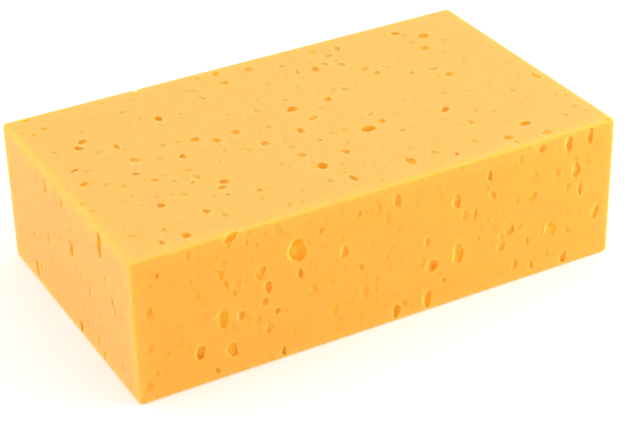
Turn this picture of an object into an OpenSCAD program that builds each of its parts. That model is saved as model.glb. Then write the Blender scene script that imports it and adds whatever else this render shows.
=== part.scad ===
// Cleaning sponge: one block of open-cell foam, cut square from a larger slab.
// The cut faces open the larger voids of the foam as pores.
// Frame: X along the length, Y across the width, Z up, origin in the middle of the underside.

/* [Block] */
// Length of the block, left to right
length = 205; // [150:1:260]
// Width of the block, front to back
width = 120; // [90:1:160]
// Height of the block, along the rise of the foam
height = 60; // [40:1:80]
// Radius of every edge
edge_r = 1.5; // [0.5:0.1:3]

/* [Pores] */
// Size of every pore against its drawn size
pore_scale = 1; // [0.7:0.05:1.2]
// Area of a face that holds one pore, on the right end, the back and the underside
area_per_pore = 400; // [300:10:1500]

/* [Hidden] */

// Facets of the preview on a round surface
$fn = 24;

// Size of the block on which the pores of the top, front and left end are drawn
drawn = [205, 120, 60];
spread = [length / drawn.x, width / drawn.y, height / drawn.z];

// How far the middle of a void lies below its face, against the void's width
deep = 0.2;
half = 0.05;
faint = -0.2;

// Pores as [along, up, width, length, sink]. A pore's length runs along the face's second side.
// Top: along from the left end, up from the front edge
top_pores = [
    [90.5, 26, 4.5, 6.5, deep], [74.5, 66.5, 4, 5.5, deep], [119.5, 42.5, 5.5, 5.5, deep],
    [126.5, 45, 4, 4, half], [181.5, 101.5, 5.5, 5.5, deep], [175.5, 91.5, 4.5, 5.5, half],
    [172, 109.5, 4, 4, deep], [90.5, 115, 4, 5, half], [56, 118, 4, 4, half],
    [8.5, 117, 3.5, 3.5, half], [21, 90, 4, 4, deep], [17.5, 85, 4, 4, deep],
    [31, 79, 3, 4, half], [9.5, 70, 3.5, 3.5, deep], [8.5, 58.5, 3.5, 3.5, half],
    [28, 56, 3.5, 3.5, half], [32, 66, 3.5, 4.5, half], [48.5, 59.5, 4, 4, half],
    [58.5, 69, 3.5, 3.5, half], [45.5, 71, 3, 3, faint], [65, 63.5, 3.5, 3.5, half],
    [64.5, 55, 3, 3, faint], [71, 53, 3, 3, faint], [80, 52.5, 3.5, 4.5, half],
    [96.5, 54, 3.5, 4.5, half], [102.5, 71.5, 5, 5, deep], [106, 61, 3.5, 3.5, half],
    [126.5, 52.5, 2.5, 2.5, half], [153, 40.5, 4, 5, deep], [130, 34.5, 3, 3, half],
    [173, 14.5, 4.5, 5.5, deep], [171.5, 66, 4, 4, half], [181.5, 72, 3, 3, faint],
    [168, 73, 3.5, 3.5, half], [159, 75, 3, 3, half], [159, 80, 2, 5, faint],
    [146.5, 82, 3.5, 3.5, half], [137.5, 96, 3.5, 3.5, half], [126.5, 98, 3.5, 4.5, deep],
    [119.5, 99.5, 2.5, 4.5, half], [144, 109.5, 3, 4.5, deep], [137.5, 106, 3.5, 3.5, half],
    [133, 112, 4.5, 4.5, faint], [116.5, 107.5, 3, 3, half], [103.5, 112, 3.5, 4.5, half],
    [89.5, 106, 4, 4, half], [73.5, 106, 3, 3, faint], [76.5, 98.5, 2.5, 4, half],
    [54, 91.5, 3, 4, deep], [62.5, 90.5, 2.5, 3.5, faint], [44, 104, 4, 4, faint],
    [12, 107, 3.5, 3.5, faint], [6.5, 104.5, 2.5, 2.5, half], [8, 87, 2.5, 2.5, half],
    [54, 34, 4, 4, deep], [51, 30.5, 3, 3.5, deep], [51, 25, 2.5, 3, half],
    [25.5, 30, 3.5, 4.5, deep], [38.5, 19, 3.5, 3.5, deep], [32, 48, 3, 3, half],
    [38, 43.5, 2.5, 2.5, half], [46, 43, 3.5, 3.5, half], [43.5, 39, 2.5, 3.5, half],
    [36.5, 33.5, 3, 3, faint], [2.5, 46, 2.5, 3.5, half], [25, 7, 4, 4, deep],
    [15, 7, 3, 3, half], [20, 14.5, 2.5, 2.5, half], [61.5, 22, 2.5, 2.5, half],
    [60, 16, 3.5, 3.5, faint], [87, 37, 3.5, 3.5, half], [77.5, 34.5, 3, 3, half],
    [87, 63.5, 3, 3, faint], [89.5, 77, 3, 3, faint], [103, 30.5, 3.5, 4.5, half],
    [99.5, 43.5, 2.5, 2.5, half], [112, 66.5, 3, 3, faint], [118, 72, 3.5, 3.5, half],
    [124, 77.5, 3, 3, faint], [96, 12, 3.5, 4.5, deep], [87, 14.5, 2.5, 3, half],
    [103, 5, 3, 3, faint], [120, 12, 5, 5, half], [130.5, 13.5, 3.5, 4.5, half],
    [148, 12.5, 3, 3, half], [137.5, 8, 3, 3, half], [161, 8.5, 3.5, 3.5, half],
    [175.5, 4.5, 4, 4, half], [156, 27, 3, 3, half], [181, 29, 2.5, 4, faint],
    [195, 49, 3, 3, faint], [200, 46, 3, 6, half], [40, 1, 4, 4, half],
];
// Front: along from the left end, up from the underside
front_pores = [
    [65, 45, 7.5, 10.5, deep], [66.5, 35, 2.5, 4, deep], [37.5, 57.5, 4, 6, deep],
    [22, 56.5, 3, 5, faint], [57.5, 56, 3, 7, faint], [50, 40, 3.5, 5, half],
    [52.5, 33, 4, 5.5, deep], [34.5, 26, 4, 8.5, half], [41.5, 25, 3, 4.5, deep],
    [27, 28, 2.5, 4, faint], [51, 27.5, 3, 4, half], [56.5, 22, 3, 3.5, half],
    [48.5, 21, 3, 4.5, faint], [25, 14.5, 4, 6.5, deep], [37.5, 11.5, 4, 7.5, deep],
    [53, 15.5, 3, 4.5, half], [31, 4.5, 2.5, 3.5, half], [58.5, 3.5, 3, 4.5, deep],
    [71.5, 26.5, 3.5, 6, faint], [84.5, 38, 3.5, 6, half], [81.5, 10, 2, 3.5, half],
    [93, 18, 4, 8, faint], [91.5, 29.5, 2.5, 3.5, half], [99.5, 52, 3, 6.5, faint],
    [103, 46.5, 3, 7, faint], [107, 53, 3.5, 6, half], [106.5, 5, 4, 7, deep],
    [104.5, 33, 2, 3.5, half], [120.5, 5.5, 3.5, 6.5, deep], [120.5, 31, 3, 4, half],
    [122.5, 20, 4.5, 6.5, deep], [127.5, 11.5, 2, 3, half], [134, 21.5, 4, 8, half],
    [133, 45, 4, 7, deep], [136.5, 37, 3.5, 6, faint], [141, 36.5, 2.5, 6, half],
    [147.5, 51.5, 2.5, 6, deep], [149.5, 42.5, 3, 4.5, half], [158, 24.5, 2.5, 5, half],
    [153.5, 18, 3, 5, half], [167.5, 36.5, 4.5, 4.5, faint], [165.5, 17.5, 2, 3, half],
    [160, 8, 3, 4.5, half], [168, 5.5, 2.5, 4, half], [171, 56.5, 4, 4, half],
    [176.5, 19.5, 4, 7.5, half], [178, 43.5, 3.5, 5.5, faint], [175.5, 9, 3, 4.5, faint],
    [183.5, 55, 4.5, 7, deep], [183.5, 4.5, 3.5, 6, deep], [187.5, 42.5, 4, 7, half],
    [190, 33.5, 3, 6.5, half], [193, 56, 3.5, 7, half], [198, 20.5, 4, 6, half],
    [5, 23, 3, 4, faint], [10, 52, 2, 3, half], [36.5, 39.5, 2, 4, half],
];
// Left end: along from the back edge, up from the underside
left_pores = [
    [93.5, 53.5, 4.5, 11, deep], [43, 52.5, 3.5, 7.5, half], [65, 37, 5, 8, half],
    [25, 23, 4.5, 4.5, faint], [24.5, 7, 5, 8, half], [41, 29, 3, 5, half],
    [42.5, 18.5, 2.5, 5, faint], [55, 36, 3, 5.5, faint], [101.5, 34, 3, 5, half],
    [97, 40.5, 3, 4.5, faint], [67.5, 4, 4, 5, deep], [89, 3.5, 4, 5, half],
    [79.5, 26.5, 2.5, 4, half], [72.5, 16, 3, 6, faint], [35, 54, 3, 5, faint],
    [62, 50, 3.5, 5, faint], [110, 32, 2.5, 5, faint], [106, 8, 3, 5, faint],
    [6, 40, 3.5, 7, faint],
];

// Steps that spread a row of points evenly over a rectangle
step_along = 0.7549;
step_up = 0.5698;
// How far a point strays from its even place, against the distance between points
stray = 0.7;

function fraction(x) = x - floor(x);
// A repeatable draw from 0 to 1 for each number n: the far digits of a sine
draw_step = 78.233;
draw_gain = 43758.5453;
function draw(n) = fraction(sin(n * draw_step) * draw_gain);

// Pores by rule over a face: most of them near the least width, few near the widest, and up to
// stretch times longer than wide
least = 2.4;
widest = 6.2;
rarity = 3.5;
// Sinks that the pores by rule are drawn from
sinks = [faint, half, half, deep];
function scattered(size, stretch, seed) =
    let (
        count = floor(size.x * size.y / area_per_pore),
        far = stray / sqrt(count)
    )
    [
        for (i = [1:count])
            let (
                w = least + (widest - least) * pow(draw(i + seed), rarity),
                l = w * (1 + (stretch - 1) * draw(i + 2 * seed)),
                along = fraction(i * step_along + far * draw(i + 3 * seed)),
                up = fraction(i * step_up + far * draw(i + 4 * seed)),
                sink = sinks[floor(draw(i + 5 * seed) * len(sinks))]
            )
            [along * size.x, up * size.y, w, l, sink]
    ];
// Drawn pores, moved in step with the size of the block
function placed(pores, rate) = [for (p = pores) [p[0] * rate.x, p[1] * rate.y, p[2], p[3], p[4]]];

// Sides of the faces, along and up
across = [length, width];
side = [length, height];
end = [width, height];
// Pores look round across the rise of the foam and tall along it
flat = 1;
tall = 1.8;
// Numbers that start the draws of the right end, the back and the underside
right_seed = 111;
back_seed = 223;
under_seed = 337;

// Every face as [turn, corner, its pores]. The turn brings +Z to the face's outward normal.
faces = [
    [[0, 0, 0], [-length / 2, -width / 2, height], placed(top_pores, [spread.x, spread.y])],
    [[90, 0, 0], [-length / 2, -width / 2, 0], placed(front_pores, [spread.x, spread.z])],
    [[90, 0, -90], [-length / 2, width / 2, 0], placed(left_pores, [spread.y, spread.z])],
    [[90, 0, 90], [length / 2, -width / 2, 0], scattered(end, tall, right_seed)],
    [[90, 0, 180], [length / 2, width / 2, 0], scattered(side, tall, back_seed)],
    [[180, 0, 0], [-length / 2, width / 2, 0], scattered(across, flat, under_seed)],
];

// A void of the foam: a ball, or a row of joined balls along Y when it is clearly longer than
// wide. Both numbers are against the void's width.
clearly = 0.25;
ball_step = 0.6;
module void(w, l) {
    extra = l - w;
    steps = extra < clearly * w ? 0 : ceil(extra / (ball_step * w));
    if (steps == 0) {
        sphere(d = w);
    } else {
        for (i = [0:steps]) {
            translate([0, (i / steps - 0.5) * extra, 0]) sphere(d = w);
        }
    }
}

module pores_of(pores) {
    for (p = pores) {
        w = p[2] * pore_scale;
        l = p[3] * pore_scale;
        translate([p[0], p[1], -p[4] * w]) void(w, l);
    }
}

// Rectangle with rounded corners, centred
module rounded(a, b) {
    square([a - 2 * edge_r, b], center = true);
    square([a, b - 2 * edge_r], center = true);
    for (i = [-1, 1], j = [-1, 1]) {
        translate([i * (a / 2 - edge_r), j * (b / 2 - edge_r)]) circle(edge_r);
    }
}

// The block before its pores, with all twelve edges rounded
module block() {
    intersection() {
        linear_extrude(height) rounded(length, width);
        translate([0, width / 2, height / 2]) rotate([90, 0, 0]) {
            linear_extrude(width) rounded(length, height);
        }
        translate([-length / 2, 0, height / 2]) rotate([90, 0, 90]) {
            linear_extrude(length) rounded(width, height);
        }
    }
}

// The block with the pores of its first n faces cut
module opened(n) {
    if (n == 0) {
        block();
    } else {
        face = faces[n - 1];
        difference() {
            opened(n - 1);
            translate(face[1]) rotate(face[0]) pores_of(face[2]);
        }
    }
}

module foam_block() {
    color([0.99, 0.78, 0.38]) opened(len(faces));
}

foam_block();
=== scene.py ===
"""Looks of a yellow cleaning sponge: open-cell foam, cut square, with pores of every size.

The CAD block gives the size and the larger pores. This script bends those pores out of true and
makes them shallower, adds finer ones, and colours the foam by how deep and how near an edge each
point lies. Lengths are in metres.
"""

import math
import random

import bmesh
import bpy
import numpy as np
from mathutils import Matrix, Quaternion, Vector, noise


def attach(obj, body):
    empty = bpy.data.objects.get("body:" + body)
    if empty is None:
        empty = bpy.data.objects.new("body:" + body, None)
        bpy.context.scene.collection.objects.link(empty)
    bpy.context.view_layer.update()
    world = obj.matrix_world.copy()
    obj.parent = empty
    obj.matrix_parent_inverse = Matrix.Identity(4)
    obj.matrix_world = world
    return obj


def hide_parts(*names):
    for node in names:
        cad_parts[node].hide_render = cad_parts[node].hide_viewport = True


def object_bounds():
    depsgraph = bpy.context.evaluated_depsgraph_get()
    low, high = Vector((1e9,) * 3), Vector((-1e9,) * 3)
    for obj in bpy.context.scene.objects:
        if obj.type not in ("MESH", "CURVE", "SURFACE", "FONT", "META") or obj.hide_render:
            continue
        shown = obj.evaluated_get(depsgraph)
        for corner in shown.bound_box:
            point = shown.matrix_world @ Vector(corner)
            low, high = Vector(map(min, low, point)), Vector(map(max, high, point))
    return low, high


MM = 0.001

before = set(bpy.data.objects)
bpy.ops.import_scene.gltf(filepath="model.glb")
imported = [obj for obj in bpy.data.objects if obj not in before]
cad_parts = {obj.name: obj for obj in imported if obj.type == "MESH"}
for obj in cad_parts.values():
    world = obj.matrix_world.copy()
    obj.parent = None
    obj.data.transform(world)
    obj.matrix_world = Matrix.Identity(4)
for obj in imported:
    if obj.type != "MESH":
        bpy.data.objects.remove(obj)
cad_low, cad_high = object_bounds()
cad_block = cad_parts["foam_block"]
half = (cad_high - cad_low) / 2
middle = (cad_high + cad_low) / 2

# ---- Foam ----------------------------------------------------------------------------------------

SEED = 7
# Without a seed, Blender's noise takes the clock for one and gives other pores on each run
noise.seed_set(SEED)
# Radius of the block's edges, as in the CAD, and the strips that round one
EDGE_RADIUS = 1.5 * MM
EDGE_STRIPS = 4
# A patch of the CAD block is the wall of a round void if all its points fit a ball this well, and
# the ball's radius is no more than this
BALL_FIT = 0.02 * MM
WIDEST_BALL = 10 * MM
# Balls of one radius whose middles are closer than this many radii make one long void
JOINED = 1.6
# How finely a void's ball is divided: (from this width up, subdivisions), the widest first
FINENESS = ((6.6 * MM, 4), (3.0 * MM, 3), (0, 2))
# Swirls that bend the pores out of true: size of a swirl, how far it moves a point
SWIRLS = ((5.0 * MM, 1.2 * MM), (2.0 * MM, 0.55 * MM))
# Pores keep their rims in the plane of a face: a point moves freely across it from this far below
FREE_DEPTH = 1.5 * MM
# Light passes through the foam between real pores and into them. Shallower pores stand in for it:
# how deep they are here, against the CAD
SHALLOW = 0.65
# Fine pores are shallow dishes: area of a face that holds one, their widths, how far the ball that
# cuts one has its middle over the face in radii, and how much taller than wide one gets
FINE_AREA = 58 * MM * MM
FINE_WIDTH = (1.3 * MM, 3.4 * MM)
FINE_OVER = (0.3, 0.9)
FINE_STRETCH = 1.7
# Room that a void takes up among those that are cut with it: its size times this, plus a gap
ROOM_SHARE = 1.1
ROOM_GAP = 0.5 * MM
# Edges that bend more than this stay crisp
CRISP = math.radians(38)


def points_of(mesh):
    """The places of a mesh's points, as rows of x, y, z."""
    places = np.empty(len(mesh.vertices) * 3)
    mesh.vertices.foreach_get("co", places)
    return places.reshape(-1, 3)


def patches(mesh):
    """The points of each connected patch of a mesh of triangles, one array for each."""
    corners = np.empty(len(mesh.loops), np.int32)
    mesh.loops.foreach_get("vertex_index", corners)
    corners = corners.reshape(-1, 3)
    label = np.arange(len(mesh.vertices))
    while True:
        lowest = label[corners].min(1)
        spread = label.copy()
        for i in range(3):
            np.minimum.at(spread, corners[:, i], lowest)
        spread = spread[spread]
        if (spread == label).all():
            break
        label = spread
    order = np.argsort(label, kind="stable")
    starts = np.flatnonzero(np.diff(label[order])) + 1
    return np.split(points_of(mesh)[order], starts)


def fitted_ball(points):
    """(middle, radius) of the ball that the points lie on, or None."""
    start = points.mean(0)
    offsets = points - start
    terms = np.c_[2 * offsets, np.ones(len(offsets))]
    found, _, rank, _ = np.linalg.lstsq(terms, (offsets**2).sum(1), rcond=None)
    if rank < 4:
        return None
    radius = math.sqrt(found[3] + (found[:3] ** 2).sum())
    error = np.abs(np.linalg.norm(offsets - found[:3], axis=1) - radius).max()
    if error > BALL_FIT or radius > WIDEST_BALL:
        return None
    return start + found[:3], radius


def chained(balls):
    """Sorts balls into chains: a chain's balls have one radius and lie close together."""
    chains = []
    for centre, radius in balls:
        met, others = [(centre, radius)], []
        for chain in chains:
            alike = abs(chain[0][1] - radius) < BALL_FIT
            close = any(np.linalg.norm(centre - c) < JOINED * radius for c, _ in chain)
            if alike and close:
                met += chain
            else:
                others.append(chain)
        chains = others + [met]
    return chains


def cad_voids():
    """The voids of the CAD block as (middle, radius, reach), where reach goes from the middle to
    the last ball of a long void."""
    voids = []
    for chain in chained([ball for ball in map(fitted_ball, patches(cad_block.data)) if ball]):
        centres = np.array([c for c, _ in chain])
        low, high = centres.min(0), centres.max(0)
        voids.append((Vector((low + high) / 2), chain[0][1], Vector((high - low) / 2)))
    return voids


def fine_voids():
    """Fine voids in every face, as cad_voids() gives them, with some of them stretched along Z."""
    draw = random.Random(SEED)
    voids = []
    for axis in range(3):
        a, b = (axis + 1) % 3, (axis + 2) % 3
        face_area = 2 * half[a] * 2 * half[b]
        for side in (-1, 1):
            for _ in range(int(face_area / FINE_AREA)):
                width = FINE_WIDTH[0] + (FINE_WIDTH[1] - FINE_WIDTH[0]) * draw.random() ** 2
                over = draw.uniform(*FINE_OVER)
                radius = width / 2 / math.sqrt(1 - over * over)
                rise = 0 if axis == 2 else radius * draw.uniform(0, FINE_STRETCH - 1)
                place = Vector((0, 0, 0))
                place[a] = draw.uniform(-1, 1) * half[a]
                place[b] = draw.uniform(-1, 1) * half[b]
                place[axis] = side * (half[axis] + radius * over)
                voids.append((middle + place, radius, Vector((0, 0, rise))))
    return voids


def apart(voids):
    """Sorts voids into groups in which no two meet, so that each group cuts cleanly."""
    places = np.array([place for place, _, _ in voids])
    rooms = np.array([(radius + reach.length) * ROOM_SHARE + ROOM_GAP for _, radius, reach in voids])
    group_of = []
    groups = []
    for i in range(len(voids)):
        distance = np.linalg.norm(places[:i] - places[i], axis=1)
        taken = {group_of[j] for j in np.flatnonzero(distance < rooms[:i] + rooms[i])}
        free = next(g for g in range(len(groups) + 1) if g not in taken)
        if free == len(groups):
            groups.append([])
        groups[free].append(voids[i])
        group_of.append(free)
    return groups


def below_faces(points):
    """How far each point lies inside the block's three pairs of faces, as rows of x, y, z."""
    return np.array(half) - np.abs(points - np.array(middle))


def swirled(points):
    """Moves points by a smooth noise, but not out of the face of the block that they are near."""
    free = np.clip(below_faces(points) / FREE_DEPTH, 0, 1)
    free = free * free * (3 - 2 * free)
    moved = points.copy()
    for size, reach in SWIRLS:
        drift = [noise.noise_vector(Vector(p) / size) for p in points]
        moved += np.array(drift) * reach * free
    return moved


def ball_mesh(subdivisions):
    """Corners and triangles of a ball of radius 1."""
    ball = bmesh.new()
    bmesh.ops.create_icosphere(ball, subdivisions=subdivisions, radius=1)
    corners = np.array([v.co for v in ball.verts])
    triangles = np.array([[v.index for v in f.verts] for f in ball.faces])
    ball.free()
    return corners, triangles


BALLS = {subdivisions: ball_mesh(subdivisions) for _, subdivisions in FINENESS}


def ball_for(radius):
    """The ball mesh for a void of this radius, still at radius 1."""
    return next(BALLS[subdivisions] for width, subdivisions in FINENESS if radius >= width / 2)


def shallower(points, place, radius):
    """Points of a void, drawn towards each face that it opens so that its opening stays."""
    for i in range(3):
        side = math.copysign(1, place[i] - middle[i])
        face = middle[i] + side * half[i]
        if abs(face - place[i]) < radius:
            points[:, i] = face + (points[:, i] - face) * SHALLOW
    return points


def cutter(voids, draw):
    """One mesh of all the voids, each a ball or an egg, bent out of true."""
    points, faces, start = [], [], 0
    for place, radius, reach in voids:
        corners, triangles = ball_for(radius)
        turn = Quaternion([draw.gauss(0, 1) for _ in range(4)])
        turn.normalize()
        egg = corners @ np.array(turn.to_matrix())
        if reach.length > 0:
            along = np.array(reach.normalized())
            egg = egg + np.outer(egg @ along, along) * reach.length / radius
        points.append(shallower(egg * radius + np.array(place), place, radius))
        faces.append(triangles + start)
        start += len(corners)
    mesh = bpy.data.meshes.new("cutter")
    mesh.from_pydata(swirled(np.concatenate(points)), [], np.concatenate(faces).tolist())
    return bpy.data.objects.new("cutter", mesh)


def settle(thing):
    """Puts an object's modifiers into its mesh."""
    graph = bpy.context.evaluated_depsgraph_get()
    mesh = bpy.data.meshes.new_from_object(thing.evaluated_get(graph))
    thing.modifiers.clear()
    thing.data = mesh


def cut(block, tool):
    """Takes the tool away from the block, and the tool out of the scene."""
    bpy.context.scene.collection.objects.link(tool)
    step = block.modifiers.new("cut", "BOOLEAN")
    step.operation = "DIFFERENCE"
    step.solver = "MANIFOLD"
    step.object = tool
    settle(block)
    bpy.data.objects.remove(tool)


def plain_block():
    """The block before its pores: a box with rounded edges."""
    shape = bmesh.new()
    bmesh.ops.create_cube(shape, size=2)
    bmesh.ops.scale(shape, vec=half, verts=shape.verts)
    bmesh.ops.translate(shape, vec=middle, verts=shape.verts)
    rounding = {"offset": EDGE_RADIUS, "segments": EDGE_STRIPS, "profile": 0.5}
    bmesh.ops.bevel(shape, geom=shape.edges, affect="EDGES", **rounding)
    bmesh.ops.triangulate(shape, faces=shape.faces)
    mesh = bpy.data.meshes.new("sponge")
    shape.to_mesh(mesh)
    shape.free()
    return mesh


def sponge_object():
    """The block with all its pores."""
    sponge = bpy.data.objects.new("sponge", plain_block())
    bpy.context.scene.collection.objects.link(sponge)
    draw = random.Random(SEED + 1)
    for group in apart(cad_voids() + fine_voids()):
        cut(sponge, cutter(group, draw))
    sponge.data.shade_smooth()
    sponge.data.set_sharp_from_angle(angle=CRISP)
    flat = sponge.modifiers.new("flat", "WEIGHTED_NORMAL")
    flat.keep_sharp = True
    settle(sponge)
    return sponge


# ---- Material ------------------------------------------------------------------------------------

WHITE = (1, 1, 1, 1)
# Painted light and shade: lit and shaded copies of one foam colour, painted lighter on the top and
# underside, darkest on the long sides and between on the ends, and how far their colours blend each
# way from an edge
FLAT_LIT_COLOUR = (0.985, 0.455, 0.108, 1)
SIDE_SHADED_COLOUR = (0.985, 0.40, 0.054, 1)
END_SHADED_COLOUR = (0.985, 0.418, 0.11, 1)
FACE_BLEND = 0.8 * MM
# Painted light along an edge, standing for light that passes through the foam from the next face:
# paler foam in an uneven band, with distances from the edge where it is gone and full, its share on
# the long sides and what the other faces add, and size of its waves
EDGE_LIGHT_COLOUR = (0.985, 0.49, 0.108, 1)
EDGE_LIGHT_BAND = (8.0 * MM, 1.5 * MM)
EDGE_LIGHT_SHARE = (0.2, 0.5)
EDGE_LIGHT_WAVE = 5.0 * MM
# Painted shade on the rim of a pore: what the rim keeps of the colour round it; and painted light and
# shade inside a pore: a golden colour with more green, standing for light that passes through the foam
# into it, and less blue, as in its shade; each with the depths below a face where it begins and is full
RIM_SHADE_TINT = (0.86, 1.07, 0.79, 1)
RIM_SHADE_DEPTH = (0.08 * MM, 0.5 * MM)
PIT_LIGHT_AND_SHADE_COLOUR = (0.985, 0.565, 0.044, 1)
PIT_LIGHT_AND_SHADE_DEPTH = (0.5 * MM, 1.8 * MM)
# Uneven foam: size of the patches, what the darkest keep of the colour, and the values of the noise
# where a patch begins and is full
MOTTLE_SIZE = 2.6 * MM
MOTTLE_TINT = (0.86, 0.89, 0.76, 1)
MOTTLE_RANGE = (0.56, 0.76)
# Cells too fine for shapes are a bump: their size, depth and strength
CELL_SIZE = 0.9 * MM
CELL_DEPTH = 0.15 * MM
CELL_STRENGTH = 0.25
# How far light goes inside the foam, and the shares of this for red, green and blue
LIGHT_REACH = 8 * MM
LIGHT_SHARES = (1.0, 0.6, 0.25)


class Nodes:
    """Adds shader nodes to a material, with inputs given by name or number."""

    def __init__(self, material):
        material.use_nodes = True
        self.tree = material.node_tree
        self.tree.nodes.clear()

    def feed(self, socket, value):
        """Gives a socket a value, or the output of another node."""
        if isinstance(value, bpy.types.NodeSocket):
            self.tree.links.new(value, socket)
        else:
            socket.default_value = value

    def add(self, kind, inputs=None, **settings):
        node = self.tree.nodes.new(kind)
        for name, value in settings.items():
            setattr(node, name, value)
        for key, value in (inputs or {}).items():
            self.feed(node.inputs[key], value)
        return node

    def maths(self, operation, *values):
        numbered = dict(enumerate(values))
        return self.add("ShaderNodeMath", numbered, operation=operation).outputs[0]

    def ramp(self, value, low, high):
        """0 at low and beyond it, 1 at high and beyond it, smooth between."""
        inputs = {"Value": value, "From Min": low, "From Max": high}
        node = self.add("ShaderNodeMapRange", inputs, interpolation_type="SMOOTHSTEP")
        return node.outputs[0]

    def mixed(self, factor, first, second, blend_type="MIX"):
        """Two colours mixed. A Mix node keeps its colour sockets behind those for other kinds."""
        inputs = {0: factor, 6: first, 7: second}
        return self.add("ShaderNodeMix", data_type="RGBA", blend_type=blend_type, inputs=inputs).outputs[2]

    def tinted(self, factor, colour, tint):
        """A colour times a tint, as far as the factor says."""
        return self.mixed(1.0, colour, self.mixed(factor, WHITE, tint), "MULTIPLY")

    def noise(self, place, scale):
        inputs = {"Vector": place, "Scale": scale, "Detail": 2.0}
        return self.add("ShaderNodeTexNoise", inputs).outputs[0]


def inside_faces(n, place):
    """How far a point lies inside the block's ends, long sides and flat faces."""
    parts = n.add("ShaderNodeSeparateXYZ", {0: place}).outputs
    inside = []
    for i in range(3):
        centred = n.maths("SUBTRACT", parts[i], middle[i])
        inside.append(n.maths("SUBTRACT", half[i], n.maths("ABSOLUTE", centred)))
    return inside


# The foam's colour with painted light and shade (lit and shaded faces, painted light along edges, painted
# shade and light in pores) and real mottling
def foam_colour_and_painted_light(n, place):
    ends, sides, flats = inside_faces(n, place)
    low = n.maths("MINIMUM", ends, sides)
    high = n.maths("MAXIMUM", ends, sides)
    depth = n.maths("MINIMUM", low, flats)
    from_edge = n.maths("MINIMUM", high, n.maths("MAXIMUM", low, flats))

    # Painted light and shade: a lit copy of the foam colour on the top and underside, shaded copies on the
    # long sides and ends
    to_end = n.ramp(n.maths("SUBTRACT", sides, ends), -FACE_BLEND, FACE_BLEND)
    to_flat = n.ramp(n.maths("SUBTRACT", low, flats), -FACE_BLEND, FACE_BLEND)
    colour = n.mixed(to_end, SIDE_SHADED_COLOUR, END_SHADED_COLOUR)
    colour = n.mixed(to_flat, colour, FLAT_LIT_COLOUR)

    # Painted light along the edges: a paler, uneven band, weaker on the long sides
    wave = n.maths("SUBTRACT", n.noise(place, 1 / (2 * EDGE_LIGHT_WAVE)), 0.5)
    edge = n.ramp(n.maths("MULTIPLY_ADD", wave, 2 * EDGE_LIGHT_WAVE, from_edge), *EDGE_LIGHT_BAND)
    off_side = n.maths("MAXIMUM", to_flat, to_end)
    share = n.maths("MULTIPLY_ADD", off_side, EDGE_LIGHT_SHARE[1], EDGE_LIGHT_SHARE[0])
    colour = n.mixed(n.maths("MULTIPLY", edge, share), colour, EDGE_LIGHT_COLOUR)

    mottle = n.ramp(n.noise(place, 1 / MOTTLE_SIZE), *MOTTLE_RANGE)
    colour = n.tinted(mottle, colour, MOTTLE_TINT)
    # Painted shade on the rims of pores
    colour = n.tinted(n.ramp(depth, *RIM_SHADE_DEPTH), colour, RIM_SHADE_TINT)
    # Painted light and shade inside pores: golden, lighter in green and with less blue
    return n.mixed(n.ramp(depth, *PIT_LIGHT_AND_SHADE_DEPTH), colour, PIT_LIGHT_AND_SHADE_COLOUR)


def foam_material():
    foam = bpy.data.materials.new("foam")
    n = Nodes(foam)
    place = n.add("ShaderNodeTexCoord").outputs["Object"]
    cells = n.add("ShaderNodeTexVoronoi", {"Vector": place, "Scale": 1 / CELL_SIZE}).outputs["Distance"]
    bump = n.add("ShaderNodeBump", {"Height": cells, "Strength": CELL_STRENGTH, "Distance": CELL_DEPTH})
    shader = n.add(
        "ShaderNodeBsdfPrincipled",
        {
            "Base Color": foam_colour_and_painted_light(n, place),
            "Roughness": 0.9,
            "Specular IOR Level": 0.2,
            "Subsurface Weight": 1.0,
            "Subsurface Radius": LIGHT_SHARES,
            "Subsurface Scale": LIGHT_REACH,
            "Normal": bump.outputs[0],
        },
    )
    n.add("ShaderNodeOutputMaterial", {"Surface": shader.outputs[0]})
    return foam


# ---- Stage, lights and camera --------------------------------------------------------------------

CAMERA_AZIMUTH = math.radians(-28.35)
CAMERA_ELEVATION = math.radians(30.67)
CAMERA_ROLL = math.radians(-1.354)
CAMERA_DISTANCE = 749.3 * MM
# How far the camera's axis passes from the middle of the block, to its right and upwards
CAMERA_ASIDE = Vector((2.0, -11.0, 0)) * MM
# Focal length and width of the sensor, in Blender's millimetres
CAMERA_LENS = 108.92
CAMERA_SENSOR = 36
# The white table is lit from below as well
FLOOR_SIZE = 8
FLOOR_COLOUR = (0.85, 0.85, 0.85, 1)
FLOOR_GLOW = 0.19
WORLD_STRENGTH = 0.97
# Softboxes: place and power in watts
SOFTBOX_SIZE = 0.5
SOFTBOXES = {
    "softbox_right": ((0.45, -0.30, 0.28), 1.8),
    "softbox_left": ((-0.45, 0.25, 0.35), 0.7),
}


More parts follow.
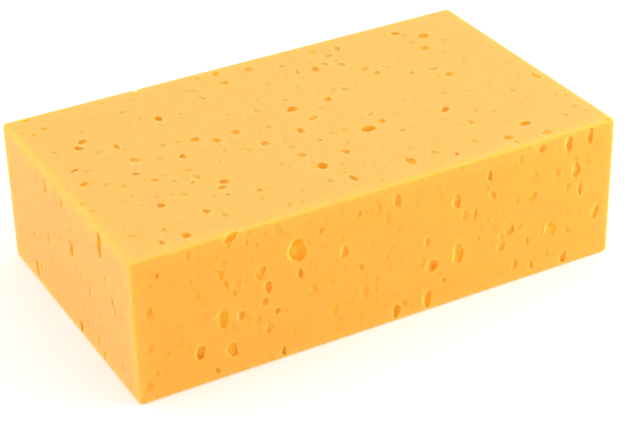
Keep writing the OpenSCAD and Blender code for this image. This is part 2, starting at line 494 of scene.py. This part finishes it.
def floor_object():
    bpy.ops.mesh.primitive_plane_add(size=FLOOR_SIZE, location=(0, 0, cad_low.z))
    floor = bpy.context.object
    floor.name = "floor"
    white = bpy.data.materials.new("floor")
    n = Nodes(white)
    shader = n.add(
        "ShaderNodeBsdfPrincipled",
        {
            "Base Color": FLOOR_COLOUR,
            "Roughness": 1.0,
            "Specular IOR Level": 0.0,
            "Emission Color": WHITE,
            "Emission Strength": FLOOR_GLOW,
        },
    )
    n.add("ShaderNodeOutputMaterial", {"Surface": shader.outputs[0]})
    floor.data.materials.append(white)
    return floor


def light_stage():
    world = bpy.data.worlds.new("studio")
    bpy.context.scene.world = world
    world.use_nodes = True
    background = world.node_tree.nodes["Background"]
    background.inputs["Color"].default_value = WHITE
    background.inputs["Strength"].default_value = WORLD_STRENGTH


def softbox(name, place, power):
    """A square lamp that faces the middle of the block."""
    lamp = bpy.data.lights.new(name, "AREA")
    lamp.shape = "SQUARE"
    lamp.size = SOFTBOX_SIZE
    lamp.energy = power
    box = bpy.data.objects.new(name, lamp)
    box.location = place
    box.rotation_mode = "QUATERNION"
    box.rotation_quaternion = (middle - Vector(place)).to_track_quat("-Z", "Y")
    bpy.context.scene.collection.objects.link(box)


def photo_camera():
    """The camera as it stood for the photograph."""
    lens = bpy.data.cameras.new("camera")
    lens.lens = CAMERA_LENS
    lens.sensor_width = CAMERA_SENSOR
    camera = bpy.data.objects.new("camera", lens)
    bpy.context.scene.collection.objects.link(camera)
    flat = math.cos(CAMERA_ELEVATION)
    back = Vector((
        math.sin(CAMERA_AZIMUTH) * flat,
        -math.cos(CAMERA_AZIMUTH) * flat,
        math.sin(CAMERA_ELEVATION),
    ))
    turn = (-back).to_track_quat("-Z", "Y") @ Quaternion((0, 0, 1), CAMERA_ROLL)
    camera.rotation_mode = "QUATERNION"
    camera.rotation_quaternion = turn
    camera.location = middle + back * CAMERA_DISTANCE + turn @ CAMERA_ASIDE
    bpy.context.scene.camera = camera


# ---- Scene ---------------------------------------------------------------------------------------

bpy.context.scene.view_settings.view_transform = "Standard"
light_stage()
for name, (place, power) in SOFTBOXES.items():
    softbox(name, place, power)
photo_camera()
floor_object()

sponge = sponge_object()
sponge.data.materials.clear()
sponge.data.materials.append(foam_material())
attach(sponge, "root")
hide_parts("foam_block")
